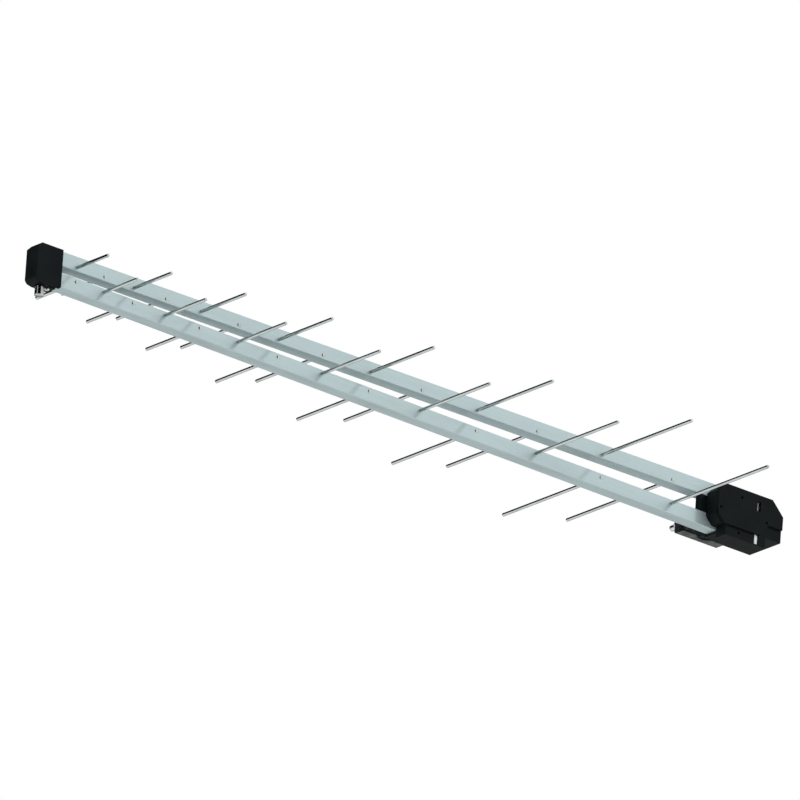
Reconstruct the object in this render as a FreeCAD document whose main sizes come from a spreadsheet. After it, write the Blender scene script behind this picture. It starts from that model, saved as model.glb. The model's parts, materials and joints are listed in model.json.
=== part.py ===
import FreeCAD, Part
import Sketcher
import os
import re

# Log-periodic dipole antenna for the UHF television band: two square tubes (booms) stacked one above
# the other, fourteen pairs of round rods, a feed cover with a coaxial socket at the front and a plastic
# housing with a steel mast clamp at the rear.
#
# Frame: the origin is the axis of the mast that the clamp holds, level with the middle of the gap
# between the booms. +X points to the rear (the antenna receives from -X), +Y points from the antenna
# to the mast clamp's nuts and +Z is up. Left is -Y and right is +Y.

SIZES = {
    # booms
    "boom_size": (15.0, "outer width of the square boom tube"),
    "boom_wall": (1.2, "wall of the boom tube"),
    "boom_corner": (0.8, "outer corner radius of the boom tube"),
    "boom_pitch": (22.3, "centre distance of the booms at the first dipole"),
    "boom_flare": (0.3675, "angle by which each boom opens towards the rear, degrees"),
    "boom_nose": (33.0, "boom length in front of the first dipole"),
    "boom_tail": (60.0, "boom length behind the front of the rear housing"),
    # dipole rods
    "dipole_count": (14.0, "number of dipoles, two rods each"),
    "first_spacing": (34.25, "distance from the first dipole to the second"),
    "growth": (1.0835, "ratio of each spacing and length to the one before"),
    "longest_half": (155.5, "half length of the last and longest dipole"),
    "rod_diameter": (3.5, "dipole rod"),
    "rod_inset": (4.1, "rod axis from the boom face that looks at the other boom"),
    "rod_tip_chamfer": (0.3, "chamfer of the rod's free end"),
    "rod_clearance": (0.03, "radial clearance of the rod in the boom wall"),
    "rivet_diameter": (4.4, "head formed on the rod outside the far wall"),
    "rivet_height": (0.9, "height of that head"),
    # front cover
    "cover_length": (31.4, "front cover along X"),
    "cover_width": (18.0, "front cover along Y"),
    "cover_above": (19.8, "top of the front cover above the mid plane"),
    "cover_below": (21.6, "bottom of the front cover below the mid plane"),
    "cover_wall": (1.5, "front wall of the cover"),
    "cover_top_wall": (1.2, "top wall of the cover"),
    "cover_side_wall": (1.3, "side walls of the cover"),
    "cover_setback": (19.7, "rear edge of the cover in front of the first dipole"),
    "cover_chamfer": (5.3, "slope at the front top of the cover"),
    "cover_chin": (8.1, "rounded front bottom of the cover, along X"),
    "cover_chin_height": (4.2, "its height"),
    "cover_heel": (2.0, "chamfer at the rear bottom of the cover"),
    "floor_top": (17.26, "top of the cover's thick floor below the mid plane"),
    "floor_end": (14.0, "rear end of that floor in front of the cover's rear edge"),
    "tongue_top": (18.65, "top of the tongue below the mid plane"),
    "tongue_end": (3.7, "end of the tongue in front of the cover's rear edge"),
    "tongue_width": (10.0, "width of that tongue"),
    "cover_screw_place": (30.0, "screw of the cover in front of the first dipole"),
    "cover_screw_diameter": (2.9, "self-tapping screw of the cover"),
    "cover_screw_head": (5.4, "its head"),
    "cover_screw_head_height": (1.8, "height of that head"),
    "cover_screw_length": (7.5, "its shank"),
    # coaxial socket
    "socket_setback": (38.9, "socket axis in front of the first dipole"),
    "socket_diameter": (9.4, "outside of the threaded barrel"),
    "socket_bore": (6.4, "inside of the barrel"),
    "socket_drop": (13.6, "end of the barrel below the lower boom's bottom face"),
    "socket_flats": (11.0, "hexagon flange of the socket, across flats"),
    "socket_flange": (3.0, "height of that flange"),
    "socket_thread_top": (3.5, "upper end of the outer thread below the lower boom's bottom face"),
    "socket_neck": (0.5, "step in from the thread to the plain neck inside the cover"),
    "socket_pin": (1.2, "centre contact wire"),
    "socket_rim": (0.9, "recess of the insulator behind the barrel's rim"),
    "socket_rise": (17.9, "top of the centre contact above the lower boom's axis"),
    # feed straps
    "strap_width": (12.0, "straps at both ends of the booms, along Y"),
    "strap_thickness": (1.0, "their sheet"),
    "ground_strap_reach": (45.0, "front end of the ground strap in front of the first dipole"),
    "feed_strap_reach": (42.0, "front end of the feed strap in front of the first dipole"),
    "strap_end": (20.0, "rear end of both straps in front of the first dipole"),
    "feed_screw_place": (26.0, "screw of the feed strap in front of the first dipole"),
    "feed_screw_diameter": (2.9, "screw of the feed strap"),
    "feed_screw_head": (5.2, "its head"),
    "feed_screw_head_height": (1.6, "height of that head"),
    "feed_screw_length": (4.5, "its shank"),
    # rear housing
    "housing_gap": (44.2, "last dipole to the front of the rear housing"),
    "housing_length": (83.8, "rear housing along X"),
    "housing_half_height": (20.65, "top and bottom of the housing from the mid plane"),
    "left_width": (22.4, "left face of the housing from the boom plane"),
    "right_width": (24.5, "right face of the housing from the boom plane"),
    "plate_rise": (2.0, "raised panel on the left face"),
    "brow": (9.2, "45 degree slope at the front top"),
    "chin": (7.5, "45 degree slope at the front bottom"),
    "rear_slope": (14.3, "45 degree slope at the rear top"),
    "right_front": (11.5, "front of the right half behind the front of the left half"),
    "parting": (0.05, "each housing half from the boom plane"),
    "boom_fit": (0.1, "clearance of the housing round the booms"),
    "spacer_reach": (7.7, "spacer between the booms in front of the housing"),
    "spacer_half_height": (8.6, "its half height"),
    "spacer_width": (7.5, "its width on each side of the boom plane"),
    "foot_start": (14.0, "front of the foot under the lower boom"),
    "foot_end": (64.4, "rear of that foot"),
    "foot_depth": (31.5, "bottom of the foot below the mid plane"),
    "roof_start": (24.0, "front of the roof over the upper boom"),
    "roof_half_height": (26.5, "roof and floor round the booms from the mid plane"),
    "roof_width": (10.0, "roof and floor from the boom plane"),
    "panel_chamfer": (1.5, "bevel along the front of the raised panel"),
    "panel_low_rear": (7.5, "lower rear corner of the panel below the mid plane"),
    "panel_step_high": (66.0, "upper end of the panel's step line"),
    "panel_step_low": (57.0, "lower end of that line"),
    # housing screws and blind holes
    "screw_front_x": (5.0, "front screw of the housing"),
    "screw_rear_x": (63.6, "rear screw of the housing"),
    "screw_drop": (5.4, "housing screws below the mid plane"),
    "screw_diameter": (2.6, "housing screw"),
    "screw_hole": (2.8, "hole for it"),
    "screw_head": (5.0, "its head"),
    "screw_head_height": (2.0, "height of that head"),
    "screw_sink": (15.0, "depth of the rear screw's counterbore"),
    "screw_grip": (12.0, "screw length inside the left half"),
    "blind_x": (30.8, "the two blind holes of the left face"),
    "blind_rise": (11.9, "upper blind hole above the mid plane"),
    "blind_drop": (25.2, "lower blind hole below the mid plane"),
    "blind_depth": (9.0, "depth of the blind holes"),
    # captive nuts
    "captive_x": (52.8, "slots for the captive nuts"),
    "captive_rise": (8.7, "upper captive nut above the mid plane"),
    "captive_drop": (25.3, "lower captive nut below the mid plane"),
    "captive_y": (16.8, "axis of the captive nuts from the boom plane"),
    "captive_height": (4.0, "thickness of a captive nut"),
    "slot_length": (4.3, "slot along X"),
    "slot_fit": (0.1, "clearance of the nut in its slot"),
    "captive_bore": (6.6, "bore behind each captive nut"),
    # mast seat and clamp
    "mast_radius": (14.0, "mast that the seat is cut for"),
    "seat_bottom": (17.5, "bottom of the seat from the boom plane"),
    "seat_x": (37.0, "mast axis behind the front of the housing"),
    "bolt_offset": (17.6, "clamp bolts in front of and behind the mast axis"),
    "bolt_diameter": (6.0, "clamp bolt"),
    "bolt_hole": (6.6, "hole for it"),
    "bolt_flats": (10.0, "hexagon head of the bolt, across flats"),
    "bolt_head_height": (4.0, "its height"),
    "bolt_head_fit": (0.15, "clearance round that head"),
    "bolt_end": (70.0, "end of the bolt from the boom plane"),
    "jaw_face": (54.0, "outer face of the jaw from the boom plane"),
    "jaw_length": (52.3, "jaw along X"),
    "jaw_height": (24.0, "jaw along Z"),
    "jaw_depth": (13.5, "jaw along Y"),
    "jaw_wall": (2.0, "sheet of the jaw"),
    "jaw_bend": (2.5, "outside bend radius of the jaw"),
    "notch_radius": (14.1, "round notch of the jaw"),
    "washer_diameter": (12.0, "washer under each nut"),
    "washer_height": (0.8, "its height"),
    "nut_flats": (10.0, "nut across flats"),
    "nut_height": (5.0, "height of the clamp nut"),
    "thread_clearance": (0.05, "radial clearance of the nut on the bolt"),
    "nut_gap": (0.05, "gap between the nut and its washer"),
}

SHEET = "Sizes"
WORD = re.compile(r"[a-z][a-z_]*[a-z]")
NODES = []
doc = FreeCAD.newDocument("Antenna")


def build_sheet():
    """Write every driving dimension into the spreadsheet, one row each, with its alias."""
    sheet = doc.addObject("Spreadsheet::Sheet", SHEET)
    for row, (alias, (value, note)) in enumerate(SIZES.items(), start=1):
        sheet.set(f"A{row}", note)
        sheet.set(f"B{row}", str(value))
        sheet.setAlias(f"B{row}", alias)
    doc.recompute()
    return sheet


sheet = build_sheet()


def ref(text):
    """Turn a formula of plain aliases into one that points at the sheet."""
    return WORD.sub(lambda m: f"{SHEET}.{m.group(0)}" if m.group(0) in SIZES else m.group(0), text)


def number(text):
    """Value of a formula of aliases."""
    return float(sheet.evalExpression(ref(text)))


def bind(target, **formulas):
    """Bind properties of an object to formulas of aliases."""
    for prop, text in formulas.items():
        target.setExpression(prop, ref(text))


def place(target, x="0", y="0", z="0", axis=None, angle=None):
    """Bind an object's place, and its turn about an axis, to formulas of aliases."""
    if axis:
        target.Placement = FreeCAD.Placement(FreeCAD.Vector(), FreeCAD.Rotation(FreeCAD.Vector(*axis), number(angle)))
        target.setExpression("Placement.Rotation.Angle", ref(angle))
    for letter, text in zip("xyz", (x, y, z)):
        target.setExpression(f"Placement.Base.{letter}", ref(text))


def node(target, label):
    """Name an object as one of the antenna's pieces."""
    target.Label = label
    NODES.append(target)
    return target


# --- sketches and features -------------------------------------------------------------------------


def new_body(name):
    return doc.addObject("PartDesign::Body", name)


def new_sketch(body, plane, name):
    """Sketch on one of the body's own origin planes."""
    sketch = body.newObject("Sketcher::SketchObject", f"{body.Name}_{name}")
    support = [item for item in body.Origin.OriginFeatures if item.Role == plane][0]
    sketch.AttachmentSupport = [(support, "")]
    sketch.MapMode = "FlatFace"
    return sketch


def fix_point(sketch, geometry, corner, x, y):
    """Hold one point of the sketch at a place given by two formulas."""
    for kind, text in (("DistanceX", x), ("DistanceY", y)):
        index = sketch.addConstraint(Sketcher.Constraint(kind, -1, 1, geometry, corner, number(text)))
        sketch.setExpression(f"Constraints[{index}]", ref(text))


def add_polygon(sketch, points):
    """Closed outline through points given as pairs of formulas."""
    spots = [FreeCAD.Vector(number(x), number(y), 0) for x, y in points]
    first = sketch.GeometryCount
    for start, end in zip(spots, spots[1:] + spots[:1]):
        sketch.addGeometry(Part.LineSegment(start, end), False)
    for step, (x, y) in enumerate(points):
        follower = first + (step + 1) % len(points)
        sketch.addConstraint(Sketcher.Constraint("Coincident", first + step, 2, follower, 1))
    for step, (x, y) in enumerate(points):
        fix_point(sketch, first + step, 1, x, y)


def add_circle(sketch, x, y, radius):
    """Circle whose centre and radius are formulas."""
    index = sketch.addGeometry(
        Part.Circle(FreeCAD.Vector(number(x), number(y), 0), FreeCAD.Vector(0, 0, 1), number(radius)), False)
    fix_point(sketch, index, 3, x, y)
    rule = sketch.addConstraint(Sketcher.Constraint("Radius", index, number(radius)))
    sketch.setExpression(f"Constraints[{rule}]", ref(radius))


def rectangle(left, right, low, high):
    return [(left, low), (right, low), (right, high), (left, high)]


def hexagon(radius, start=0):
    """Six corners round the sketch's origin, the first one at a start angle from its X axis."""
    angles = [start + 60 * turn for turn in range(6)]
    return [(f"({radius}) * cos({angle})", f"({radius}) * sin({angle})") for angle in angles]


def pad(body, sketch, length, name, reverse=False, both=False):
    feature = body.newObject("PartDesign::Pad", f"{body.Name}_{name}")
    feature.Profile = sketch
    feature.Reversed = reverse
    if both:
        feature.SideType = "Symmetric"
    bind(feature, Length=length)
    doc.recompute()
    return feature


def pocket(body, sketch, name, length=None, reverse=False):
    """Cut a sketch out of the body: right through it both ways, or to a depth on one side."""
    before = body.Shape.Volume
    feature = body.newObject("PartDesign::Pocket", f"{body.Name}_{name}")
    feature.Profile = sketch
    feature.Reversed = reverse
    if length:
        bind(feature, Length=length)
    else:
        feature.Type = "ThroughAll"
        feature.SideType = "Symmetric"
    doc.recompute()
    if body.Shape.Volume >= before:
        raise RuntimeError(f"{feature.Name} cuts nothing")
    return feature


def revolve(body, points, plane="XZ_Plane"):
    """Turn a closed outline, given as (radius, along) formulas, about the sketch's upright axis."""
    sketch = new_sketch(body, plane, "profile")
    add_polygon(sketch, points)
    feature = body.newObject("PartDesign::Revolution", f"{body.Name}_turn")
    feature.Profile = sketch
    feature.ReferenceAxis = (sketch, ["V_Axis"])
    feature.Angle = 360
    doc.recompute()
    return feature


def dress(body, kind, base, names, size, name):
    """Fillet or chamfer the named edges of the body's last feature."""
    feature = body.newObject(f"PartDesign::{kind}", f"{body.Name}_{name}")
    feature.Base = (base, names)
    bind(feature, **{"Radius" if kind == "Fillet" else "Size": size})
    doc.recompute()
    return feature


def edges_where(shape, test):
    """Names of a shape's edges that pass a test."""
    return [f"Edge{index + 1}" for index, edge in enumerate(shape.Edges) if test(edge)]


def along(edge, axis):
    """True for a straight edge that runs along one axis (0 = X, 1 = Y, 2 = Z)."""
    if len(edge.Vertexes) != 2:
        return False
    gap = edge.Vertexes[0].Point - edge.Vertexes[1].Point
    return all(abs(gap[other]) < 1e-6 for other in range(3) if other != axis)


def block(name, sizes, x, y, z, axis=None, angle=None):
    """Box of bound sizes whose low corner is at a bound place."""
    item = doc.addObject("Part::Box", name)
    bind(item, Length=sizes[0], Width=sizes[1], Height=sizes[2])
    place(item, x, y, z, axis, angle)
    return item


def rod(name, radius, height, x, y, z, axis, angle):
    """Cylinder that starts at a bound place and is turned about an axis."""
    item = doc.addObject("Part::Cylinder", name)
    bind(item, Radius=radius, Height=height)
    place(item, x, y, z, axis, angle)
    return item


def cut(name, base, tools):
    """Base less one or more tools."""
    tool = tools[0]
    if len(tools) > 1:
        tool = doc.addObject("Part::MultiFuse", f"{name}_tools")
        tool.Shapes = tools
    item = doc.addObject("Part::Cut", name)
    item.Base = base
    item.Tool = tool
    return item


# --- where things are ------------------------------------------------------------------------------

BOOM_Y = "-(seat_bottom + mast_radius)"
HOUSING_X = "-seat_x"
SPAN = "first_spacing * (growth ^ (dipole_count - 1) - 1) / (growth - 1)"
HOUSING_DISTANCE = f"({SPAN} + housing_gap)"
FIRST_X = f"({HOUSING_X} - {HOUSING_DISTANCE})"
COVER_REAR = f"({FIRST_X} - cover_setback)"
COVER_FRONT = f"({COVER_REAR} - cover_length)"
BOOM_BOTTOM = "-boom_size / 2"
BOOM_FLOOR = "(boom_wall - boom_size / 2)"
UPPER, LOWER = 1, -1
LEFT, RIGHT = -1, 1


def dipole_place(index):
    """Distance of a dipole behind the first one."""
    return f"(first_spacing * (growth ^ {index} - 1) / (growth - 1))"


def on_boom(level, distance, height="0"):
    """Place of a point beside the boom axis: distance from the first dipole, height off the axis."""
    x = f"{FIRST_X} + ({distance}) * cos(boom_flare) - {level} * ({height}) * sin(boom_flare)"
    z = f"{level} * boom_pitch / 2 + {level} * ({distance}) * sin(boom_flare) + ({height}) * cos(boom_flare)"
    return x, z


def with_boom(target, level, distance, height="0", y="0"):
    """Place a piece in a boom's own direction."""
    x, z = on_boom(level, distance, height)
    place(target, x, f"{BOOM_Y} + {y}", z, (0, 1, 0), f"{-level} * boom_flare")


# --- booms and dipole rods -------------------------------------------------------------------------

BOOM_LENGTH = f"(boom_nose + {HOUSING_DISTANCE} + boom_tail)"


def rod_height(level):
    """Rod axis off the boom axis, towards the other boom."""
    return f"{-level} * (boom_size / 2 - rod_inset)"


def build_boom(level, name, label):
    """Square tube with a row of rod holes and one screw hole in its lower wall at the front."""
    body = new_body(name)
    outline = new_sketch(body, "YZ_Plane", "section")
    for half in ("boom_size / 2", "(boom_size / 2 - boom_wall)"):
        add_polygon(outline, rectangle(f"-{half}", half, f"-{half}", half))
    tube = pad(body, outline, BOOM_LENGTH, "tube")
    half = number("boom_size / 2")
    corners = edges_where(tube.Shape, lambda edge: along(edge, 0) and abs(abs(edge.Vertexes[0].Y) - half) < 1e-6)
    dress(body, "Fillet", tube, corners, "boom_corner", "corners")
    holes = new_sketch(body, "XZ_Plane", "holes")
    for index in range(int(number("dipole_count"))):
        add_circle(holes, f"boom_nose + {dipole_place(index)}", rod_height(level), "rod_diameter / 2 + rod_clearance")
    pocket(body, holes, "holes_cut")
    screw, diameter = ("cover_screw_place", "cover_screw_diameter")
    if level == UPPER:
        screw, diameter = ("feed_screw_place", "feed_screw_diameter")
    floor = new_sketch(body, "XY_Plane", "floor_hole")
    add_circle(floor, f"boom_nose - {screw}", "0", f"{diameter} / 2 + rod_clearance")
    pocket(body, floor, "floor_hole_cut", length="boom_size")
    with_boom(body, level, "-boom_nose")
    return node(body, label)


def build_rod(index, level, side, label):
    """One dipole rod: through both boom walls, with a formed head outside the far wall."""
    body = new_body("Rod_" + label)
    half = "boom_size / 2"
    tip = f"longest_half / growth ^ (dipole_count - 1 - {index})"
    edge = "rod_tip_chamfer"
    head = "rivet_height"
    profile = [
        ("0", f"-{half} - {head}"),
        (f"rivet_diameter / 2 - {edge}", f"-{half} - {head}"),
        ("rivet_diameter / 2", f"-{half} - {head} + {edge}"),
        ("rivet_diameter / 2", f"-{half}"),
        ("rod_diameter / 2", f"-{half}"),
        ("rod_diameter / 2", f"{tip} - {edge}"),
        (f"rod_diameter / 2 - {edge}", tip),
        ("0", tip),
    ]
    revolve(body, profile, "XY_Plane")
    x, z = on_boom(level, dipole_place(index), rod_height(level))
    place(body, x, BOOM_Y, z, (0, 0, 1), "0" if side == RIGHT else "180")
    return node(body, label)


build_boom(UPPER, "UpperBoom", "upper_boom")
build_boom(LOWER, "LowerBoom", "lower_boom")
for dipole in range(int(number("dipole_count"))):
    level_of_left = UPPER if dipole % 2 == 0 else LOWER
    build_rod(dipole, level_of_left, LEFT, f"element_{dipole + 1:02d}_left")
    build_rod(dipole, -level_of_left, RIGHT, f"element_{dipole + 1:02d}_right")


# --- feed end --------------------------------------------------------------------------------------

SOCKET = "-socket_setback"


def build_socket():
    """Threaded barrel of the coaxial socket with a hexagon flange that sits on the ground strap."""
    body = new_body("SocketBody")
    low = f"{BOOM_BOTTOM} - socket_drop"
    top = f"{BOOM_FLOOR} + strap_thickness"
    barrel = "socket_diameter / 2"
    revolve(body, [
        ("socket_bore / 2", low),
        (f"{barrel} - 0.5", low),
        (barrel, f"{low} + 0.5"),
        (barrel, f"{BOOM_BOTTOM} - socket_thread_top"),
        (f"{barrel} - socket_neck", f"{BOOM_BOTTOM} - socket_thread_top"),
        (f"{barrel} - socket_neck", f"{top} + socket_flange"),
        ("socket_bore / 2", f"{top} + socket_flange"),
    ])
    flange = new_sketch(body, "XY_Plane", "flange")
    add_polygon(flange, hexagon("socket_flats / 2 / cos(30)"))
    add_circle(flange, "0", "0", f"{barrel} - socket_neck - 0.2")
    flange.AttachmentOffset = FreeCAD.Placement(FreeCAD.Vector(0, 0, number(top)), FreeCAD.Rotation())
    flange.setExpression("AttachmentOffset.Base.z", ref(top))
    pad(body, flange, "socket_flange", "flange_pad")
    with_boom(body, LOWER, SOCKET)
    return node(body, "f_connector_body")


def build_insulator():
    """Plastic core that carries the centre contact in the barrel."""
    body = new_body("SocketInsulator")
    low = f"{BOOM_BOTTOM} - socket_drop + socket_rim"
    top = f"{BOOM_FLOOR} + strap_thickness + socket_flange"
    revolve(body, [
        ("socket_pin / 2", low),
        ("socket_bore / 2", low),
        ("socket_bore / 2", top),
        ("socket_pin / 2", top),
    ])
    with_boom(body, LOWER, SOCKET)
    return node(body, "f_connector_insulator")


def build_contact():
    """Centre contact: a wire from the socket's mouth up to the feed strap in the upper boom."""
    body = new_body("SocketContact")
    low = f"{BOOM_BOTTOM} - socket_drop + socket_rim + 0.6"
    revolve(body, [("0", low), ("socket_pin / 2", low), ("socket_pin / 2", "socket_rise"), ("0", "socket_rise")])
    with_boom(body, LOWER, SOCKET)
    return node(body, "f_connector_contact")


def build_strap(name, label, level, reach, holes):
    """Flat strap on the floor of a boom, reaching forward out of the boom to the socket."""
    body = new_body(name)
    sketch = new_sketch(body, "XY_Plane", "outline")
    add_polygon(sketch, rectangle("0", f"{reach} - strap_end", "-strap_width / 2", "strap_width / 2"))
    for place_from_first, radius in holes:
        add_circle(sketch, f"{reach} - {place_from_first}", "0", radius)
    pad(body, sketch, "strap_thickness", "sheet")
    with_boom(body, level, f"-{reach}", BOOM_FLOOR)
    return node(body, label)


def build_screw(name, label, sizes, level, distance, height):
    """Pan-head self-tapping screw driven upwards; sizes are diameter, head, head height and shank."""
    diameter, head, head_height, length = sizes
    body = new_body(name)
    revolve(body, [
        ("0", f"-{head_height}"),
        (f"{head} / 2 - 0.6", f"-{head_height}"),
        (f"{head} / 2", f"-{head_height} / 2"),
        (f"{head} / 2", "0"),
        (f"{diameter} / 2", "0"),
        (f"{diameter} / 2", f"{length} - 1"),
        (f"{diameter} / 6", length),
        ("0", length),
    ])
    with_boom(body, level, distance, height)
    return node(body, label)


def build_cover():
    """Front cover: a cap pushed over the boom ends, open at the rear, with a screwed tongue below."""
    body = new_body("FrontCoverShell")
    sketch = new_sketch(body, "XZ_Plane", "side")
    add_polygon(sketch, [
        ("cover_length", "cover_above"),
        ("cover_chamfer", "cover_above"),
        ("0", "cover_above - cover_chamfer"),
        ("0", "-cover_below + cover_chin_height"),
        ("cover_chin / 3", "-cover_below + cover_chin_height / 3.5"),
        ("cover_chin", "-cover_below"),
        ("cover_length - cover_heel", "-cover_below"),
        ("cover_length", "-cover_below + cover_heel"),
    ])
    outside = pad(body, sketch, "cover_width", "outside", both=True)
    rims = edges_where(outside.Shape, lambda edge: not along(edge, 1) and edge.BoundBox.XMin < number("cover_length") - 1)
    dress(body, "Chamfer", outside, rims, "cover_side_wall / 3", "edges")
    place(body, COVER_FRONT, BOOM_Y, "0")
    inner = "cover_width - 2 * cover_side_wall"
    low_y = f"{BOOM_Y} - cover_width / 2 + cover_side_wall"
    ceiling = "cover_above - cover_top_wall"
    slit = "(cover_width / 2 - cover_side_wall - tongue_width / 2)"
    floor_x = f"{COVER_REAR} - floor_end"
    x, z = on_boom(LOWER, SOCKET, f"{BOOM_BOTTOM} - socket_drop")
    bore = "socket_diameter / 2 + boom_fit"
    tools = [
        block("CoverChamber", ("cover_length - cover_wall", inner, f"floor_top + {ceiling} - cover_chamfer / 2"),
              f"{COVER_FRONT} + cover_wall", low_y, "-floor_top"),
        block("CoverChamberTop", ("cover_length - cover_chamfer", inner, "cover_chamfer"),
              f"{COVER_FRONT} + cover_chamfer", low_y, f"{ceiling} - cover_chamfer"),
        block("CoverBoomRoom", ("floor_end + 1", inner, f"tongue_top + {ceiling}"), floor_x, low_y, "-tongue_top"),
        block("CoverSlitLeft", ("floor_end + 1", slit, "cover_below"), floor_x, low_y, "-cover_below - 1"),
        block("CoverSlitRight", ("floor_end + 1", slit, "cover_below"), floor_x,
              f"{BOOM_Y} + tongue_width / 2", "-cover_below - 1"),
        block("CoverSlitRear", ("tongue_end + 1", inner, "cover_below"), f"{COVER_REAR} - tongue_end", low_y,
              "-cover_below - 1"),
        rod("CoverSocketHole", bore, "socket_drop + 2", x, BOOM_Y, z, (0, 1, 0), "boom_flare"),
    ]
    x, z = on_boom(LOWER, "-cover_screw_place", f"{BOOM_BOTTOM} - 6")
    tools.append(rod("CoverScrewHole", "cover_screw_diameter / 2 + rod_clearance", "7", x, BOOM_Y, z,
                     (0, 1, 0), "boom_flare"))
    return node(cut("FrontCover", body, tools), "feed_cover")


build_cover()
build_screw("CoverScrew", "cover_screw",
            ("cover_screw_diameter", "cover_screw_head", "cover_screw_head_height", "cover_screw_length"),
            LOWER, "-cover_screw_place", "-cover_below + boom_pitch / 2 - cover_screw_place * sin(boom_flare)")
build_socket()
build_insulator()
build_contact()
build_strap("GroundStrap", "ground_strap", LOWER, "ground_strap_reach",
            [("socket_setback", "socket_diameter / 2 + rod_clearance"),
             ("cover_screw_place", "cover_screw_diameter / 2 + rod_clearance")])
build_strap("FeedStrap", "feed_strap", UPPER, "feed_strap_reach",
            [("socket_setback", "socket_pin / 2 + boom_fit * 2"),
             ("feed_screw_place", "feed_screw_diameter / 2 + rod_clearance")])
build_screw("FeedScrew", "feed_screw",
            ("feed_screw_diameter", "feed_screw_head", "feed_screw_head_height", "feed_screw_length"),
            UPPER, "-feed_screw_place", BOOM_BOTTOM)


# --- rear housing ----------------------------------------------------------------------------------

LEFT_OUTLINE = [
    ("0", "housing_half_height - brow"),
    ("brow", "housing_half_height"),
    ("housing_length - rear_slope", "housing_half_height"),
    ("housing_length", "housing_half_height - rear_slope"),
    ("housing_length", "-housing_half_height"),
    ("chin", "-housing_half_height"),
    ("0", "-housing_half_height + chin"),
]
PANEL_OUTLINE = [
    ("0", "housing_half_height - brow"),
    ("brow", "housing_half_height"),
    ("housing_length - rear_slope", "housing_half_height"),
    ("housing_length", "housing_half_height - rear_slope"),
    ("housing_length", "-panel_low_rear"),
    ("panel_step_high", "-panel_low_rear"),
    ("panel_step_low", "-housing_half_height"),
    ("chin + 1.2", "-housing_half_height"),
    ("1.5", "-housing_half_height + chin - 0.35"),
    ("0", "-screw_drop - 2.8"),
]
RIGHT_OUTLINE = [
    ("right_front", "housing_half_height"),
    ("housing_length - rear_slope", "housing_half_height"),
    ("housing_length", "housing_half_height - rear_slope"),
    ("housing_length", "-housing_half_height"),
    ("right_front + chin", "-housing_half_height"),
    ("right_front", "-housing_half_height + chin"),
]
SCREWS = ("screw_front_x", "screw_rear_x")
BOLTS = ("(seat_x - bolt_offset)", "(seat_x + bolt_offset)")
CAPTIVES = ("captive_rise", "-captive_drop")


def boom_channels(name):
    """Tools that clear the booms and the shorting plate out of a housing half."""
    size = "boom_size + 2 * boom_fit"
    tools = []
    for level, tag in ((UPPER, "Upper"), (LOWER, "Lower")):
        tool = block(f"{name}Channel{tag}", ("boom_tail + spacer_reach + 12", size, size), "0", "0", "0")
        x, z = on_boom(level, f"{HOUSING_DISTANCE} - spacer_reach - 11.5", "-boom_size / 2 - boom_fit")
        place(tool, x, f"{BOOM_Y} - boom_size / 2 - boom_fit", z, (0, 1, 0), f"{-level} * boom_flare")
        tools.append(tool)
    room = "strap_width + 4 * boom_fit"
    tools.append(block(f"{name}PlateRoom", ("strap_thickness + 2 * boom_fit", room, f"2 * {PLATE_TOP} + 4 * boom_fit"),
                       f"{HOUSING_X} + boom_tail", f"{BOOM_Y} - strap_width / 2 - 2 * boom_fit",
                       f"-{PLATE_TOP} - 2 * boom_fit"))
    return tools


PLATE_TOP = "(boom_pitch / 2 + boom_size - 3)"


def start_half(name, side, outline, width):
    """Moulding of one housing half with the spacer, floor and roof that hold the booms."""
    body = new_body(name)
    reverse = side == RIGHT
    main = new_sketch(body, "XZ_Plane", "outline")
    add_polygon(main, outline)
    pad(body, main, f"{width} - parting", "main", reverse=reverse)
    spacer = new_sketch(body, "XZ_Plane", "spacer")
    reach = "-spacer_reach" if side == LEFT else "0"
    add_polygon(spacer, rectangle(reach, "right_front + 1", "-spacer_half_height", "spacer_half_height"))
    pad(body, spacer, "spacer_width - parting", "spacer_pad", reverse=reverse)
    for tag, start, sign in (("floor", "foot_start", "-1"), ("roof", "roof_start", "1")):
        sketch = new_sketch(body, "XZ_Plane", tag)
        ends = (f"{sign} * roof_half_height", f"{sign} * (housing_half_height - 1)")
        add_polygon(sketch, rectangle(start, "foot_end", *ends))
        pad(body, sketch, "roof_width - parting", f"{tag}_pad", reverse=reverse)
    return body


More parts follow.
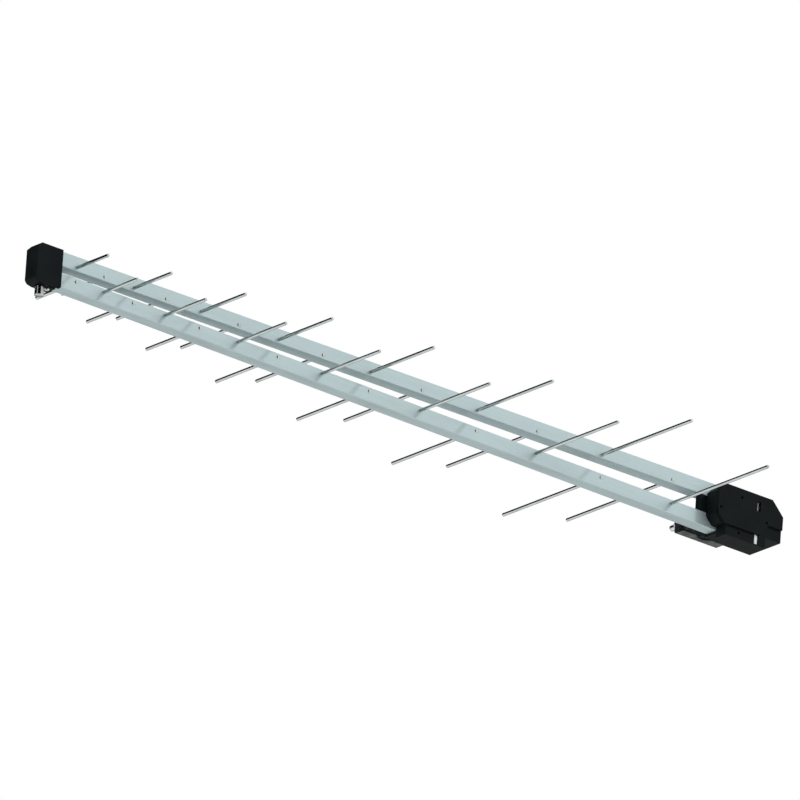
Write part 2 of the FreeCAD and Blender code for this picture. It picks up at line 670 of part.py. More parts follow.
def build_left():
    """Left half: raised panel, foot under the lower boom, slots for two captive nuts."""
    body = start_half("LeftMoulding", LEFT, LEFT_OUTLINE, "left_width")
    panel = new_sketch(body, "XZ_Plane", "panel")
    add_polygon(panel, PANEL_OUTLINE)
    raised = pad(body, panel, "left_width + plate_rise - parting", "panel_pad")
    top = -number("left_width + plate_rise - parting")
    front = edges_where(raised.Shape, lambda edge: edge.BoundBox.YMax < top + 1e-3 and edge.BoundBox.XMax < 12)
    dress(body, "Chamfer", raised, front, "panel_chamfer", "panel_bevel")
    foot = new_sketch(body, "XZ_Plane", "foot")
    add_polygon(foot, rectangle("foot_start", "foot_end", "-foot_depth", "-housing_half_height + 1"))
    pad(body, foot, "left_width - parting", "foot_pad")
    heads = new_sketch(body, "XZ_Plane", "bolt_heads")
    for x in BOLTS:
        corners = hexagon("bolt_flats / 2 / cos(30) + bolt_head_fit", 30)
        add_polygon(heads, [(f"{x} + {across}", up) for across, up in corners])
    pocket(body, heads, "bolt_heads_cut", length="bolt_head_height + bolt_head_fit", reverse=True)
    holes = new_sketch(body, "XZ_Plane", "screw_holes")
    for x in SCREWS:
        add_circle(holes, x, "-screw_drop", "screw_hole / 2")
    pocket(body, holes, "screw_holes_cut")
    place(body, HOUSING_X, f"{BOOM_Y} - parting", "0")
    tools = boom_channels("Left")
    tools.append(block("FootRelief", ("foot_end", "boom_size / 2 + boom_fit + 1", "foot_depth"), HOUSING_X,
                       f"{BOOM_Y} - boom_size / 2 - boom_fit", "-roof_half_height - foot_depth"))
    for index, z in enumerate(("blind_rise", "-blind_drop")):
        tools.append(rod(f"BlindHole{index}", "screw_hole / 2", "blind_depth + 3", f"{HOUSING_X} + blind_x",
                         f"{BOOM_Y} - left_width - 3", z, (1, 0, 0), "-90"))
    tall = "nut_flats + 2 * slot_fit"
    for index, z in enumerate(CAPTIVES):
        tools.append(block(f"NutSlot{index}", ("slot_length", "left_width + 3 - captive_y + 6", tall),
                           f"{HOUSING_X} + captive_x - slot_length / 2", f"{BOOM_Y} - left_width - 3",
                           f"{z} - nut_flats / 2 - slot_fit"))
        tools.append(rod(f"NutBore{index}", "captive_bore / 2", "housing_length", f"{HOUSING_X} + captive_x",
                         f"{BOOM_Y} - captive_y", z, (0, 1, 0), "90"))
    return node(cut("LeftHalf", body, tools), "housing_left")


def build_right():
    """Right half: block with the round mast seat and the holes of the clamp bolts."""
    body = start_half("RightMoulding", RIGHT, RIGHT_OUTLINE, "right_width")
    holes = new_sketch(body, "XZ_Plane", "holes")
    for x in BOLTS:
        add_circle(holes, x, "0", "bolt_hole / 2")
    for x in SCREWS:
        add_circle(holes, x, "-screw_drop", "screw_hole / 2")
    pocket(body, holes, "holes_cut")
    place(body, HOUSING_X, f"{BOOM_Y} + parting", "0")
    tools = boom_channels("Right")
    tools.append(rod("MastSeat", "mast_radius", "2 * roof_half_height + 2", "0", "0", "-roof_half_height - 1",
                     (0, 0, 1), "0"))
    tools.append(rod("Counterbore", "screw_head / 2 + boom_fit", "screw_sink + 1", f"{HOUSING_X} + screw_rear_x",
                     f"{BOOM_Y} + right_width - screw_sink", "-screw_drop", (1, 0, 0), "-90"))
    return node(cut("RightHalf", body, tools), "housing_right")


def several(name, label, makers):
    """Identical fasteners kept together as separate solids of one piece."""
    item = doc.addObject("Part::Compound", name)
    item.Links = makers
    return node(item, label)


def build_housing_screws():
    """Two self-tapping screws driven from the right half into the left half."""
    screws = []
    faces = ("spacer_width", "(right_width - screw_sink)")
    for index, (x, face) in enumerate(zip(SCREWS, faces)):
        body = new_body(f"HousingScrew{index}")
        tip = f"-({face} + screw_grip)"
        revolve(body, [
            ("0", tip),
            ("screw_diameter / 6", tip),
            ("screw_diameter / 2", f"{tip} + 1.5"),
            ("screw_diameter / 2", "0"),
            ("screw_head / 2", "0"),
            ("screw_head / 2", "screw_head_height / 2"),
            ("screw_head / 2 - 0.7", "screw_head_height"),
            ("0", "screw_head_height"),
        ], "XY_Plane")
        place(body, f"{HOUSING_X} + {x}", f"{BOOM_Y} + {face}", "-screw_drop")
        screws.append(body)
    return several("HousingScrews", "housing_screws", screws)


def build_shorting_plate():
    """Plate that joins the two boom ends inside the housing."""
    top = PLATE_TOP
    item = block("ShortingPlate", ("strap_thickness", "strap_width", f"2 * {top}"),
                 f"{HOUSING_X} + boom_tail + boom_fit", f"{BOOM_Y} - strap_width / 2", f"-{top}")
    return node(item, "shorting_plate")


def build_captive_nuts():
    """Two square nuts slid into the slots of the left half, their axes along X."""
    nuts = []
    for index, z in enumerate(CAPTIVES):
        body = new_body(f"CaptiveNut{index}")
        sketch = new_sketch(body, "YZ_Plane", "hexagon")
        add_polygon(sketch, rectangle("-nut_flats / 2", "nut_flats / 2", "-nut_flats / 2", "nut_flats / 2"))
        add_circle(sketch, "0", "0", "bolt_diameter / 2 * 0.87")
        pad(body, sketch, "captive_height", "nut")
        place(body, f"{HOUSING_X} + captive_x - captive_height / 2", f"{BOOM_Y} - captive_y", z)
        nuts.append(body)
    return several("CaptiveNuts", "captive_nuts", nuts)


build_left()
build_right()
build_housing_screws()
build_shorting_plate()
build_captive_nuts()


# --- mast clamp ------------------------------------------------------------------------------------


def build_bolts():
    """Two hexagon bolts, their heads held between the housing halves."""
    bolts = []
    for index, x in enumerate(BOLTS):
        body = new_body(f"ClampBolt{index}")
        head = new_sketch(body, "XZ_Plane", "head")
        add_polygon(head, hexagon("bolt_flats / 2 / cos(30)", 30))
        pad(body, head, "bolt_head_height", "head_pad")
        shank = new_sketch(body, "XZ_Plane", "shank")
        add_circle(shank, "0", "0", "bolt_diameter / 2")
        stem = pad(body, shank, "bolt_end - parting", "shank_pad", reverse=True)
        end = number("bolt_end - parting")
        rim = edges_where(stem.Shape, lambda edge: edge.BoundBox.YMin > end - 1e-3)
        dress(body, "Chamfer", stem, rim, "bolt_diameter / 8", "tip")
        place(body, f"{HOUSING_X} + {x}", f"{BOOM_Y} + parting", "0")
        bolts.append(body)
    return several("ClampBolts", "clamp_bolts", bolts)


def build_jaw():
    """Steel channel with a round notch in each flange."""
    body = new_body("JawChannel")
    section = new_sketch(body, "YZ_Plane", "section")
    half = "jaw_height / 2"
    wall = "jaw_wall"
    add_polygon(section, [
        ("0", f"-{half}"),
        ("0", half),
        ("-jaw_depth", half),
        ("-jaw_depth", f"{half} - {wall}"),
        (f"-{wall}", f"{half} - {wall}"),
        (f"-{wall}", f"-{half} + {wall}"),
        ("-jaw_depth", f"-{half} + {wall}"),
        ("-jaw_depth", f"-{half}"),
    ])
    sheet_metal = pad(body, section, "jaw_length", "channel", both=True)
    bends = edges_where(sheet_metal.Shape, lambda edge: along(edge, 0) and edge.Vertexes[0].Y > -1e-6)
    bent = dress(body, "Fillet", sheet_metal, bends, "jaw_bend", "bends")
    inner = -number(wall)
    limit = number("jaw_height / 2")
    folds = edges_where(bent.Shape, lambda edge: along(edge, 0) and abs(edge.Vertexes[0].Y - inner) < 1e-3
                        and abs(edge.Vertexes[0].Z) < limit - 1)
    dress(body, "Fillet", bent, folds, "jaw_bend - jaw_wall", "folds")
    holes = new_sketch(body, "XZ_Plane", "holes")
    for way in (-1, 1):
        add_circle(holes, f"{way} * bolt_offset", "0", "bolt_hole / 2")
    pocket(body, holes, "holes_cut")
    notch = new_sketch(body, "XY_Plane", "notch")
    add_circle(notch, "0", "-(jaw_face - seat_bottom - mast_radius)", "notch_radius")
    pocket(body, notch, "notch_cut")
    place(body, "0", f"{BOOM_Y} + jaw_face", "0")
    return node(body, "clamp_jaw")


def build_washers():
    """Washers between the jaw and its nuts."""
    washers = []
    for index, x in enumerate(BOLTS):
        body = new_body(f"Washer{index}")
        sketch = new_sketch(body, "XZ_Plane", "ring")
        add_circle(sketch, "0", "0", "washer_diameter / 2")
        add_circle(sketch, "0", "0", "bolt_hole / 2")
        pad(body, sketch, "washer_height", "ring_pad", reverse=True)
        place(body, f"{HOUSING_X} + {x}", f"{BOOM_Y} + jaw_face", "0")
        washers.append(body)
    return several("ClampWashers", "clamp_washers", washers)


def build_nut(name, x, label):
    """Clamp nut with chamfered corners."""
    body = new_body(name)
    sketch = new_sketch(body, "XZ_Plane", "hexagon")
    add_polygon(sketch, hexagon("nut_flats / 2 / cos(30)"))
    add_circle(sketch, "0", "0", "bolt_diameter / 2 + thread_clearance")
    pad(body, sketch, "nut_height", "nut", reverse=True)
    place(body, f"{HOUSING_X} + {x}", f"{BOOM_Y} + jaw_face + washer_height + nut_gap", "0")
    return node(body, label)


build_bolts()
build_jaw()
build_washers()
build_nut("NutFront", BOLTS[0], "clamp_nut_front")
build_nut("NutRear", BOLTS[1], "clamp_nut_rear")


# --- check and export ------------------------------------------------------------------------------

doc.recompute()
for item in doc.Objects:
    if {"Invalid", "Error"} & set(item.State):
        raise RuntimeError(f"{item.Name}: {item.State}")
os.makedirs("parts", exist_ok=True)
for item in NODES:
    if item.Shape.isNull() or not item.Shape.isValid():
        raise RuntimeError(f"{item.Label} has no valid shape")
    item.Shape.exportStep(os.path.join("parts", f"{item.Label}.step"))
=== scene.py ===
import json
import math

import bpy
from mathutils import Matrix, Vector


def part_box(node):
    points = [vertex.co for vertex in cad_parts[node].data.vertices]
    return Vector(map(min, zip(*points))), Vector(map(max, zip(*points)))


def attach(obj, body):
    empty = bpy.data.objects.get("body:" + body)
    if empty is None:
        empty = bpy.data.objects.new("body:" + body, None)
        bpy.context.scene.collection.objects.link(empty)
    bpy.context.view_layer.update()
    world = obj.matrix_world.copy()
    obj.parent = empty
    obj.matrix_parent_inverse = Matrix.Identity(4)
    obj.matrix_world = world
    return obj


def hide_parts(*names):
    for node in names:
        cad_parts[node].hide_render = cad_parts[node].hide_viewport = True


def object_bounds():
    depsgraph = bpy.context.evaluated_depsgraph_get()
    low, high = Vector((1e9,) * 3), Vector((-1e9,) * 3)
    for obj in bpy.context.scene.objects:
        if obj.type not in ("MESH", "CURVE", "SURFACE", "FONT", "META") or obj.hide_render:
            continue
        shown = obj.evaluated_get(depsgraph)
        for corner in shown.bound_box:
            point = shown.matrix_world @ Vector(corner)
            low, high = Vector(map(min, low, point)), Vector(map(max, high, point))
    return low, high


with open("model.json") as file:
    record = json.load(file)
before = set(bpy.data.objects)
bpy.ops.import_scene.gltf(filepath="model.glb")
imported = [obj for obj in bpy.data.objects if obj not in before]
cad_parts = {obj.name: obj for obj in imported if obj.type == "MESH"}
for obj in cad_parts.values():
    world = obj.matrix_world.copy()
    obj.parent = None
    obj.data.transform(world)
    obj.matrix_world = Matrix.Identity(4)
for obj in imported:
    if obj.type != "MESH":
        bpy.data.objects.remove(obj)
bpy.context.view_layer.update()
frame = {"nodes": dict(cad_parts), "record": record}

# Booms: two square aluminium tubes, extruded and cut to length, one above the other. Fine die lines
# run along them and the mill finish is a little cloudy and blue. Their rod holes are punched in the
# side walls, and nothing is painted.
scene = bpy.context.scene
ALUMINIUM = (0.57, 0.69, 0.70)
ALUMINIUM_CLOUD = (0.51, 0.62, 0.63)
DIE_LINES = 2400.0
LINE_STRETCH = 6.0
EVEN = (1, 1, 1)
COLOUR_A, COLOUR_B, COLOUR_OUT = 6, 7, 2


def new_material(name):
    """Empty node material with one principled shader."""
    material = bpy.data.materials.new(name)
    material.use_nodes = True
    tree = material.node_tree
    return material, tree, tree.nodes["Principled BSDF"]


def stretched(tree, scale):
    """Object coordinates, stretched or squeezed along each axis."""
    place = tree.nodes.new("ShaderNodeTexCoord")
    mapping = tree.nodes.new("ShaderNodeMapping")
    mapping.inputs["Scale"].default_value = scale
    tree.links.new(place.outputs["Object"], mapping.inputs["Vector"])
    return mapping.outputs["Vector"]


def noise(tree, vector, scale, detail=4.0, roughness=0.55):
    """Noise pattern on a vector."""
    node = tree.nodes.new("ShaderNodeTexNoise")
    node.inputs["Scale"].default_value = scale
    node.inputs["Detail"].default_value = detail
    node.inputs["Roughness"].default_value = roughness
    tree.links.new(vector, node.inputs["Vector"])
    return node.outputs["Fac"]


def between(tree, factor, low, high, start=0.35, end=0.65):
    """Value that follows a pattern from low to high."""
    node = tree.nodes.new("ShaderNodeMapRange")
    node.inputs["From Min"].default_value = start
    node.inputs["From Max"].default_value = end
    node.inputs["To Min"].default_value = low
    node.inputs["To Max"].default_value = high
    tree.links.new(factor, node.inputs["Value"])
    return node.outputs["Result"]


def tint(tree, factor, dark, light, start=0.35, end=0.65):
    """Colour that follows a pattern from dark to light."""
    ramp = tree.nodes.new("ShaderNodeValToRGB")
    ramp.color_ramp.elements[0].position = start
    ramp.color_ramp.elements[1].position = end
    ramp.color_ramp.elements[0].color = (*dark, 1)
    ramp.color_ramp.elements[1].color = (*light, 1)
    tree.links.new(factor, ramp.inputs["Fac"])
    return ramp.outputs["Color"]


def bump(tree, shader, pattern, strength, depth):
    """Relief of a pattern; depth in metres. Several calls stack."""
    node = tree.nodes.new("ShaderNodeBump")
    node.inputs["Strength"].default_value = strength
    node.inputs["Distance"].default_value = depth
    tree.links.new(pattern, node.inputs["Height"])
    if shader.inputs["Normal"].is_linked:
        tree.links.new(shader.inputs["Normal"].links[0].from_socket, node.inputs["Normal"])
    tree.links.new(node.outputs["Normal"], shader.inputs["Normal"])


def multiplied(tree, amount, first, second):
    """First colour darkened by a second one."""
    node = tree.nodes.new("ShaderNodeMix")
    node.data_type = "RGBA"
    node.blend_type = "MULTIPLY"
    node.inputs["Factor"].default_value = amount
    tree.links.new(first, node.inputs[COLOUR_A])
    tree.links.new(second, node.inputs[COLOUR_B])
    return node.outputs[COLOUR_OUT]


def drawn_metal(name, dark, light, along, metallic, rough, line_depth):
    """Metal with lines along one axis, clouds, small scratches and spots of a duller skin."""
    material, tree, shader = new_material(name)
    fine = [DIE_LINES] * 3
    fine[along] = LINE_STRETCH
    lines = noise(tree, stretched(tree, fine), 1.0, 3.0)
    clouds = noise(tree, stretched(tree, (9, 40, 40)), 1.6, 5.0)
    spots = noise(tree, stretched(tree, EVEN), 420.0, 2.0)
    colour = tint(tree, clouds, dark, light, 0.3, 0.62)
    streaks = tint(tree, lines, (0.72, 0.73, 0.73), (1, 1, 1), 0.38, 0.55)
    tree.links.new(multiplied(tree, 0.16, colour, streaks), shader.inputs["Base Color"])
    tree.links.new(between(tree, clouds, rough - 0.05, rough + 0.08), shader.inputs["Roughness"])
    shader.inputs["Metallic"].default_value = metallic
    bump(tree, shader, lines, 0.35, line_depth)
    bump(tree, shader, spots, 0.15, line_depth * 0.6)
    return material


def finish_node(node, material):
    """Give a carried-over solid its finish."""
    mesh = frame["nodes"][node].data
    mesh.materials.clear()
    mesh.materials.append(material)


boom_metal = drawn_metal("extruded_aluminium", ALUMINIUM_CLOUD, ALUMINIUM, along=0,
                         metallic=0.45, rough=0.42, line_depth=0.00005)
for boom in ("upper_boom", "lower_boom"):
    finish_node(boom, boom_metal)

# Dipole rods: drawn round aluminium rod, pushed through both walls of a boom and headed over on the
# far side. They are brighter than the booms, with light cut ends and drawing marks along Y.
ROD_LIGHT = (0.60, 0.64, 0.63)
ROD_DARK = (0.47, 0.51, 0.50)
rod_metal = drawn_metal("drawn_rod", ROD_DARK, ROD_LIGHT, along=1,
                        metallic=1.0, rough=0.11, line_depth=0.000004)
ROD_RADIUS = 0.00175
DOME_RADIUS = 0.0022
DOME_HEIGHT = 0.0009
DOME_STEPS = 6
TIP_BEVEL = 0.0003
TIP_DISH = 0.0001
TIP_DISH_RIM = 0.00008
ROD_SIDES = 28
DIPOLES = 14


def select_only(piece):
    """Make one object the selected and active one."""
    bpy.ops.object.select_all(action="DESELECT")
    piece.select_set(True)
    bpy.context.view_layer.objects.active = piece


def recalculated(piece):
    """Merge a turned shape's seam and turn its faces outwards."""
    select_only(piece)
    bpy.ops.object.mode_set(mode="EDIT")
    bpy.ops.mesh.select_all(action="SELECT")
    bpy.ops.mesh.remove_doubles(threshold=0.000002)
    bpy.ops.mesh.normals_make_consistent(inside=False)
    bpy.ops.object.mode_set(mode="OBJECT")


def turned(name, profile, axis_point, axis, steps, closed=True):
    """Turned piece from an outline of (radius, along) pairs, spun about an axis."""
    mesh = bpy.data.meshes.new(name)
    edges = [(i, i + 1) for i in range(len(profile) - 1)]
    if closed:
        edges.append((len(profile) - 1, 0))
    mesh.from_pydata([(radius, 0, along) for radius, along in profile], edges, [])
    piece = bpy.data.objects.new(name, mesh)
    scene.collection.objects.link(piece)
    select_only(piece)
    bpy.ops.object.mode_set(mode="EDIT")
    bpy.ops.mesh.select_all(action="SELECT")
    bpy.ops.mesh.spin(steps=steps, angle=2 * math.pi, center=(0, 0, 0), axis=(0, 0, 1))
    bpy.ops.object.mode_set(mode="OBJECT")
    recalculated(piece)
    turn = Vector((0, 0, 1)).rotation_difference(axis).to_matrix().to_4x4()
    piece.data.transform(Matrix.Translation(axis_point) @ turn)
    select_only(piece)
    bpy.ops.object.shade_smooth_by_angle(angle=math.radians(38))
    return piece


def rod_outline(length):
    """Outline of a rod: its formed dome, the shank, and the sheared end with a shallow dish."""
    points = []
    for step in range(DOME_STEPS + 1):
        around = math.pi / 2 * step / DOME_STEPS
        points.append((DOME_RADIUS * math.sin(around), DOME_HEIGHT * (1 - math.cos(around))))
    points += [(ROD_RADIUS, DOME_HEIGHT), (ROD_RADIUS, length - TIP_BEVEL)]
    points += [(ROD_RADIUS - TIP_BEVEL, length), (ROD_RADIUS * 0.5, length - TIP_DISH_RIM)]
    points.append((0.0, length - TIP_DISH))
    return points


for dipole in range(1, DIPOLES + 1):
    for side, outwards in (("left", -1), ("right", 1)):
        node = f"element_{dipole:02d}_{side}"
        low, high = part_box(node)
        length = high.y - low.y
        root = high.y if side == "left" else low.y
        start = Vector(((low.x + high.x) / 2, root, (low.z + high.z) / 2))
        piece = turned(f"rod_{dipole:02d}_{side}", rod_outline(length), start,
                       Vector((0, outwards, 0)), ROD_SIDES, closed=False)
        piece.data.materials.append(rod_metal)
        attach(piece, "antenna")
        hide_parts(node)

# Front cover and rear housing: black plastic mouldings with a fine spark-eroded grain, slightly
# polished where hands and tools rub. The cover caps the boom ends; the two halves of the housing
# clamp the booms and carry the mast seat.
BLACK = (0.0055, 0.0080, 0.0080)
BLACK_WORN = (0.0095, 0.0125, 0.0125)
MOULD_EDGE = 0.0006
CAP_EDGE = 0.0007
EDGE_SEGMENTS = 3


def moulded_plastic(name, dark, light):
    """Black moulding: grain, flow clouds and faint scuffs."""
    material, tree, shader = new_material(name)
    grain = noise(tree, stretched(tree, EVEN), 2600.0, 2.0, 0.6)
    clouds = noise(tree, stretched(tree, EVEN), 60.0, 5.0)
    scuffs = noise(tree, stretched(tree, (30, 300, 900)), 1.0, 6.0, 0.7)
    tree.links.new(tint(tree, clouds, dark, light, 0.3, 0.75), shader.inputs["Base Color"])
    rubbed = tree.nodes.new("ShaderNodeMath")
    rubbed.operation = "MULTIPLY_ADD"
    tree.links.new(between(tree, scuffs, 0.0, -0.10, 0.60, 0.72), rubbed.inputs[0])
    rubbed.inputs[1].default_value = 1.0
    tree.links.new(between(tree, clouds, 0.40, 0.52), rubbed.inputs[2])
    tree.links.new(rubbed.outputs["Value"], shader.inputs["Roughness"])
    shader.inputs["Specular IOR Level"].default_value = 0.045
    bump(tree, shader, grain, 0.35, 0.00006)
    bump(tree, shader, scuffs, 0.08, 0.00005)
    return material


black_plastic = moulded_plastic("black_moulding", BLACK, BLACK_WORN)


def apply_modifiers(piece):
    """Apply every modifier of a piece."""
    select_only(piece)
    for modifier in list(piece.modifiers):
        bpy.ops.object.modifier_apply(modifier=modifier.name)


def soften(node, name, width, material, body):
    """Moulded version of a solid: its edges are rounded as they leave the tool."""
    piece = frame["nodes"][node].copy()
    piece.data = piece.data.copy()
    for key in list(piece.keys()):
        del piece[key]
    piece.name = name
    piece.parent = None
    scene.collection.objects.link(piece)
    select_only(piece)
    bpy.ops.object.mode_set(mode="EDIT")
    bpy.ops.mesh.select_all(action="SELECT")
    bpy.ops.mesh.remove_doubles(threshold=0.000004)
    bpy.ops.mesh.dissolve_limited(angle_limit=math.radians(1.0), delimit={"NORMAL"})
    bpy.ops.object.mode_set(mode="OBJECT")
    bevel = piece.modifiers.new("edges", "BEVEL")
    bevel.width = width
    bevel.segments = EDGE_SEGMENTS
    bevel.limit_method = "ANGLE"
    bevel.angle_limit = math.radians(32)
    bevel.use_clamp_overlap = True
    bevel.miter_outer = "MITER_ARC"
    apply_modifiers(piece)
    bpy.ops.object.shade_smooth_by_angle(angle=math.radians(35))
    weights = piece.modifiers.new("flat_faces", "WEIGHTED_NORMAL")
    weights.keep_sharp = True
    apply_modifiers(piece)
    piece.data.materials.clear()
    piece.data.materials.append(material)
    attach(piece, body)
    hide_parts(node)
    return piece


soften("feed_cover", "front_cap", CAP_EDGE, black_plastic, "antenna")
soften("housing_left", "housing_left_shell", MOULD_EDGE, black_plastic, "antenna")
soften("housing_right", "housing_right_shell", MOULD_EDGE, black_plastic, "antenna")

# Coaxial socket: turned brass barrel, nickel plated, with a fine outside thread for the lead's nut.
# A hexagon flange holds it inside the front cover, and a white plastic core carries the contact.
NICKEL = (0.58, 0.59, 0.58)
NICKEL_DULL = (0.42, 0.43, 0.42)
THREAD_PITCH = 0.0008
THREAD_DEPTH = 0.00028
THREAD_START = 0.0006
CREST = (0.20, 0.80)
BARREL_SIDES = 48
NECK_STEP = 0.0005
BORE_RADIUS = 0.0032
MOUTH_INSET = 0.00003
MOUTH_STEP = 0.0008
MOUTH_LEAD = 0.0004
FLANGE_HEIGHT = 0.003
FLANGE_EDGE = 0.0005
FLANGE_LAP = 0.0006
FLANGE_FLATS = 0.011


def plated_metal(name, dark, light, rough):
    """Plated steel or brass: soft clouds, tiny pits and handling marks."""
    material, tree, shader = new_material(name)
    clouds = noise(tree, stretched(tree, EVEN), 160.0, 5.0)
    pits = noise(tree, stretched(tree, EVEN), 1500.0, 3.0, 0.6)
    marks = noise(tree, stretched(tree, (300, 900, 120)), 1.0, 4.0, 0.7)
    tree.links.new(tint(tree, clouds, dark, light, 0.32, 0.6), shader.inputs["Base Color"])
    tree.links.new(between(tree, marks, rough - 0.06, rough + 0.12), shader.inputs["Roughness"])
    shader.inputs["Metallic"].default_value = 1.0
    bump(tree, shader, pits, 0.12, 0.00004)
    bump(tree, shader, marks, 0.10, 0.00003)
    return material


nickel = plated_metal("nickel_plate", NICKEL_DULL, NICKEL, 0.12)
finish_node("f_connector_body", nickel)
socket_mount = [m for m in frame["record"]["mounts"] if m["name"] == "f_connector"][0]
socket_axis = Vector(socket_mount["axis"]).normalized()
barrel_radius = socket_mount["dims"]["r_mm"] / 1000
barrel_length = socket_mount["dims"]["length_mm"] / 1000
socket_low, socket_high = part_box("f_connector_body")
mount_point = Vector(socket_mount["pos_m"])
mouth = mount_point + socket_axis * ((mount_point.z - socket_low.z) / abs(socket_axis.z))
socket_height = (socket_high.z - socket_low.z) * 0.999
root_radius = barrel_radius - THREAD_DEPTH
neck_radius = barrel_radius - NECK_STEP
outline = [(BORE_RADIUS, MOUTH_INSET), (barrel_radius - MOUTH_STEP, MOUTH_INSET)]
outline.append((root_radius, MOUTH_LEAD))
turns = int((barrel_length - THREAD_START) / THREAD_PITCH)
for turn in range(turns):
    start = THREAD_START + turn * THREAD_PITCH
    outline.append((root_radius, start))
    outline += [(barrel_radius, start + THREAD_PITCH * share) for share in CREST]
outline.append((root_radius, THREAD_START + turns * THREAD_PITCH))
outline += [(neck_radius, barrel_length + THREAD_START), (neck_radius, socket_height)]
outline.append((BORE_RADIUS, socket_height))
barrel = turned("socket_barrel", outline, mouth, -socket_axis, BARREL_SIDES)
barrel.data.materials.append(nickel)
flange_point = mouth - socket_axis * (socket_height - FLANGE_HEIGHT)
flange_inner = barrel_radius - FLANGE_LAP
corner = FLANGE_FLATS / 2 / math.cos(math.pi / 6)
outline = [(flange_inner, 0), (corner - FLANGE_EDGE, 0), (corner, FLANGE_EDGE)]
outline += [(corner, FLANGE_HEIGHT - FLANGE_EDGE), (corner - FLANGE_EDGE, FLANGE_HEIGHT)]
outline.append((flange_inner, FLANGE_HEIGHT))
flange = turned("socket_flange", outline, flange_point, -socket_axis, 6)
flange.data.materials.append(nickel)
for piece in (barrel, flange):
    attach(piece, "antenna")
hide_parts("f_connector_body")

white_core, tree, shader = new_material("socket_core")
core_cloud = noise(tree, stretched(tree, EVEN), 900.0, 3.0)
core_colour = tint(tree, core_cloud, (0.62, 0.60, 0.54), (0.74, 0.73, 0.68))
tree.links.new(core_colour, shader.inputs["Base Color"])
tree.links.new(between(tree, core_cloud, 0.38, 0.5), shader.inputs["Roughness"])
bump(tree, shader, core_cloud, 0.1, 0.00004)
finish_node("f_connector_insulator", white_core)
brass = plated_metal("contact_brass", (0.50, 0.36, 0.14), (0.70, 0.54, 0.26), 0.25)
finish_node("f_connector_contact", brass)

# Feed straps and shorting plate: tinned steel strip, punched and laid on the floors of the booms.
# They hide inside the antenna, and bright screws hold the front ones.
tinned = plated_metal("tinned_strip", (0.42, 0.42, 0.40), (0.60, 0.60, 0.57), 0.34)
for strip in ("feed_strap", "ground_strap", "shorting_plate"):
    finish_node(strip, tinned)

# Screws, nuts, washers and clamp bolts: cold-headed steel with bright zinc plate. The zinc is a
# little cloudy, and cooler in tone than the nickel of the socket.
zinc = plated_metal("bright_zinc", (0.50, 0.52, 0.52), (0.72, 0.75, 0.74), 0.30)
for fastener in ("cover_screw", "feed_screw", "housing_screws", "captive_nuts", "clamp_bolts",
                 "clamp_washers", "clamp_nut_front", "clamp_nut_rear"):
    finish_node(fastener, zinc)

# Clamp jaw: a channel bent from galvanised steel sheet, with a round notch punched in each flange.
# The zinc skin is dull and blotchy, with the flat spangle of hot-dip coating.
galvanised, tree, shader = new_material("galvanised_sheet")
spangle = tree.nodes.new("ShaderNodeTexVoronoi")
spangle.inputs["Scale"].default_value = 260.0
tree.links.new(stretched(tree, EVEN), spangle.inputs["Vector"])
blotches = noise(tree, stretched(tree, EVEN), 130.0, 5.0)
zinc_skin = tint(tree, blotches, (0.05, 0.062, 0.06), (0.16, 0.18, 0.175), 0.38, 0.62)
grain = tree.nodes.new("ShaderNodeSeparateColor")
tree.links.new(spangle.outputs["Color"], grain.inputs["Color"])
flakes = between(tree, grain.outputs["Red"], 0.5, 1.0, 0.0, 1.0)
tree.links.new(multiplied(tree, 0.4, zinc_skin, flakes), shader.inputs["Base Color"])
tree.links.new(between(tree, blotches, 0.34, 0.52), shader.inputs["Roughness"])
shader.inputs["Metallic"].default_value = 0.9
bump(tree, shader, blotches, 0.15, 0.00008)
finish_node("clamp_jaw", galvanised)

# Floor and sky: a pale floor under the antenna, open from below, and a plain white surround.
# Grey and black cards that only reflections see shape the metal. A key lamp shines from above the
# rear end, and a soft fill lamp from in front.
FLOOR_DROP = 0.22
FLOOR_SIZE = 6.0
low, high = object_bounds()
bpy.ops.object.select_all(action="DESELECT")
bpy.ops.mesh.primitive_plane_add(size=FLOOR_SIZE, location=(low.x / 2, 0, low.z - FLOOR_DROP))
floor = bpy.context.object
floor.name = "studio_floor"
floor_paint = bpy.data.materials.new("pale_floor")
floor_paint.use_nodes = True
tree = floor_paint.node_tree
tree.nodes.remove(tree.nodes["Principled BSDF"])
output = tree.nodes["Material Output"]
matte = tree.nodes.new("ShaderNodeBsdfDiffuse")
matte.inputs["Color"].default_value = (0.82, 0.82, 0.82, 1)
clear = tree.nodes.new("ShaderNodeBsdfTransparent")
path = tree.nodes.new("ShaderNodeLightPath")
side = tree.nodes.new("ShaderNodeNewGeometry")
seen_below = tree.nodes.new("ShaderNodeMath")
seen_below.operation = "MULTIPLY"
tree.links.new(path.outputs["Is Camera Ray"], seen_below.inputs[0])
tree.links.new(side.outputs["Backfacing"], seen_below.inputs[1])
mix = tree.nodes.new("ShaderNodeMixShader")
tree.links.new(seen_below.outputs["Value"], mix.inputs["Fac"])
tree.links.new(matte.outputs["BSDF"], mix.inputs[1])
tree.links.new(clear.outputs["BSDF"], mix.inputs[2])
tree.links.new(mix.outputs["Shader"], output.inputs["Surface"])
floor.data.materials.append(floor_paint)
floor.visible_glossy = False


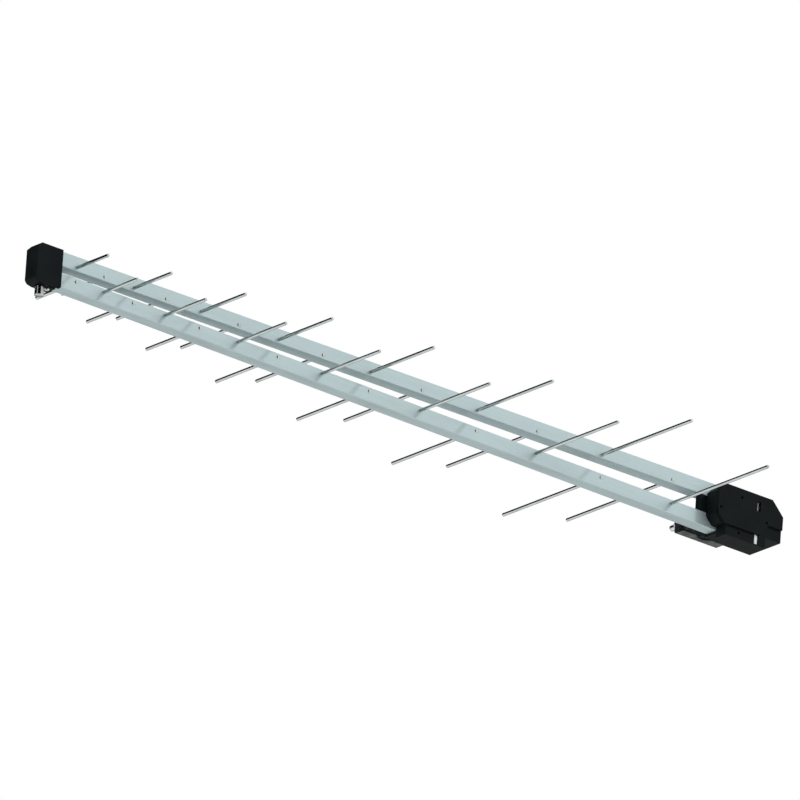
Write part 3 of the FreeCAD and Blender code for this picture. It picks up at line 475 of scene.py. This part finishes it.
def card(name, towards, distance, width, height, grey):
    """Flat card of one grey that only reflections see, facing the antenna."""
    bpy.ops.object.select_all(action="DESELECT")
    bpy.ops.mesh.primitive_plane_add(size=1.0)
    sheet = bpy.context.object
    sheet.name = name
    facing = Vector(towards).normalized()
    turn = facing.to_track_quat("Z", "Y").to_matrix().to_4x4()
    centre = (low + high) / 2 + facing * distance
    sheet.data.transform(Matrix.Translation(centre) @ turn @ Matrix.Diagonal((width, height, 1, 1)))
    paint = bpy.data.materials.new(name)
    paint.use_nodes = True
    tree = paint.node_tree
    tree.nodes.remove(tree.nodes["Principled BSDF"])
    glow = tree.nodes.new("ShaderNodeEmission")
    glow.inputs["Color"].default_value = (grey, grey * 1.02, grey * 1.02, 1)
    tree.links.new(glow.outputs["Emission"], tree.nodes["Material Output"].inputs["Surface"])
    sheet.data.materials.append(paint)
    for ray in ("camera", "diffuse", "transmission", "shadow", "volume_scatter"):
        setattr(sheet, f"visible_{ray}", False)


CARD_DISTANCE = 3.0
card("dark_card_above", (-0.12, 0.72, 0.62), CARD_DISTANCE, 13.0, 6.6, 0.0)
card("grey_card_below", (0.58, 0.72, -0.37), CARD_DISTANCE, 3.4, 1.3, 0.42)
card("dark_card_front", (-0.60, -0.68, -0.05), CARD_DISTANCE, 4.6, 8.0, 0.0)

world = bpy.data.worlds.new("white_surround")
scene.world = world
world.use_nodes = True
tree = world.node_tree
sky = tree.nodes["Background"]
sky.inputs["Color"].default_value = (0.93, 0.97, 1.0, 1)
sky.inputs["Strength"].default_value = 0.34
white = tree.nodes.new("ShaderNodeBackground")
white.inputs["Color"].default_value = (1, 1, 1, 1)
white.inputs["Strength"].default_value = 1.0
path = tree.nodes.new("ShaderNodeLightPath")
seen = path.outputs["Is Camera Ray"]
for ray in ("Is Glossy Ray", "Is Transmission Ray"):
    either = tree.nodes.new("ShaderNodeMath")
    either.operation = "MAXIMUM"
    tree.links.new(seen, either.inputs[0])
    tree.links.new(path.outputs[ray], either.inputs[1])
    seen = either.outputs["Value"]
mix = tree.nodes.new("ShaderNodeMixShader")
tree.links.new(seen, mix.inputs["Fac"])
tree.links.new(sky.outputs["Background"], mix.inputs[1])
tree.links.new(white.outputs["Background"], mix.inputs[2])
tree.links.new(mix.outputs["Shader"], tree.nodes["World Output"].inputs["Surface"])


def sun(name, towards, strength, angle):
    """Sun lamp that shines from a direction."""
    lamp = bpy.data.lights.new(name, "SUN")
    lamp.energy = strength
    lamp.angle = math.radians(angle)
    thing = bpy.data.objects.new(name, lamp)
    thing.rotation_mode = "QUATERNION"
    thing.rotation_quaternion = Vector(towards).to_track_quat("Z", "Y")
    scene.collection.objects.link(thing)
    return thing


sun("key", (0.50, -0.58, 0.64), 1.9, 7).visible_glossy = False
sun("fill", (-1.0, -0.05, -0.05), 2.2, 40).visible_glossy = False

# Camera: far off with a long lens, a little below the antenna and in front of its left side, so
# that parallel edges stay nearly parallel.
LENS = 1650.0
FRAME_WIDTH = 0.7807
SENSOR_WIDTH = 36.0
BACK = Vector((-0.57344, -0.73217, -0.36755)).normalized()
UP = Vector((-0.28028, -0.24624, 0.9278))
SUBJECT = Vector((-0.42075, -0.03054, -0.00358))
camera_data = bpy.data.cameras.new("camera")
camera_data.lens = LENS
camera_data.sensor_width = SENSOR_WIDTH
distance = FRAME_WIDTH * LENS / SENSOR_WIDTH
right = UP.cross(BACK).normalized()
above = BACK.cross(right)
camera = bpy.data.objects.new("camera", camera_data)
turn = Matrix((right, above, BACK)).transposed().to_4x4()
camera.matrix_world = Matrix.Translation(SUBJECT + BACK * distance) @ turn
camera_data.clip_start = 1.0
camera_data.clip_end = distance * 4
scene.collection.objects.link(camera)
scene.camera = camera
scene.view_settings.view_transform = "Standard"
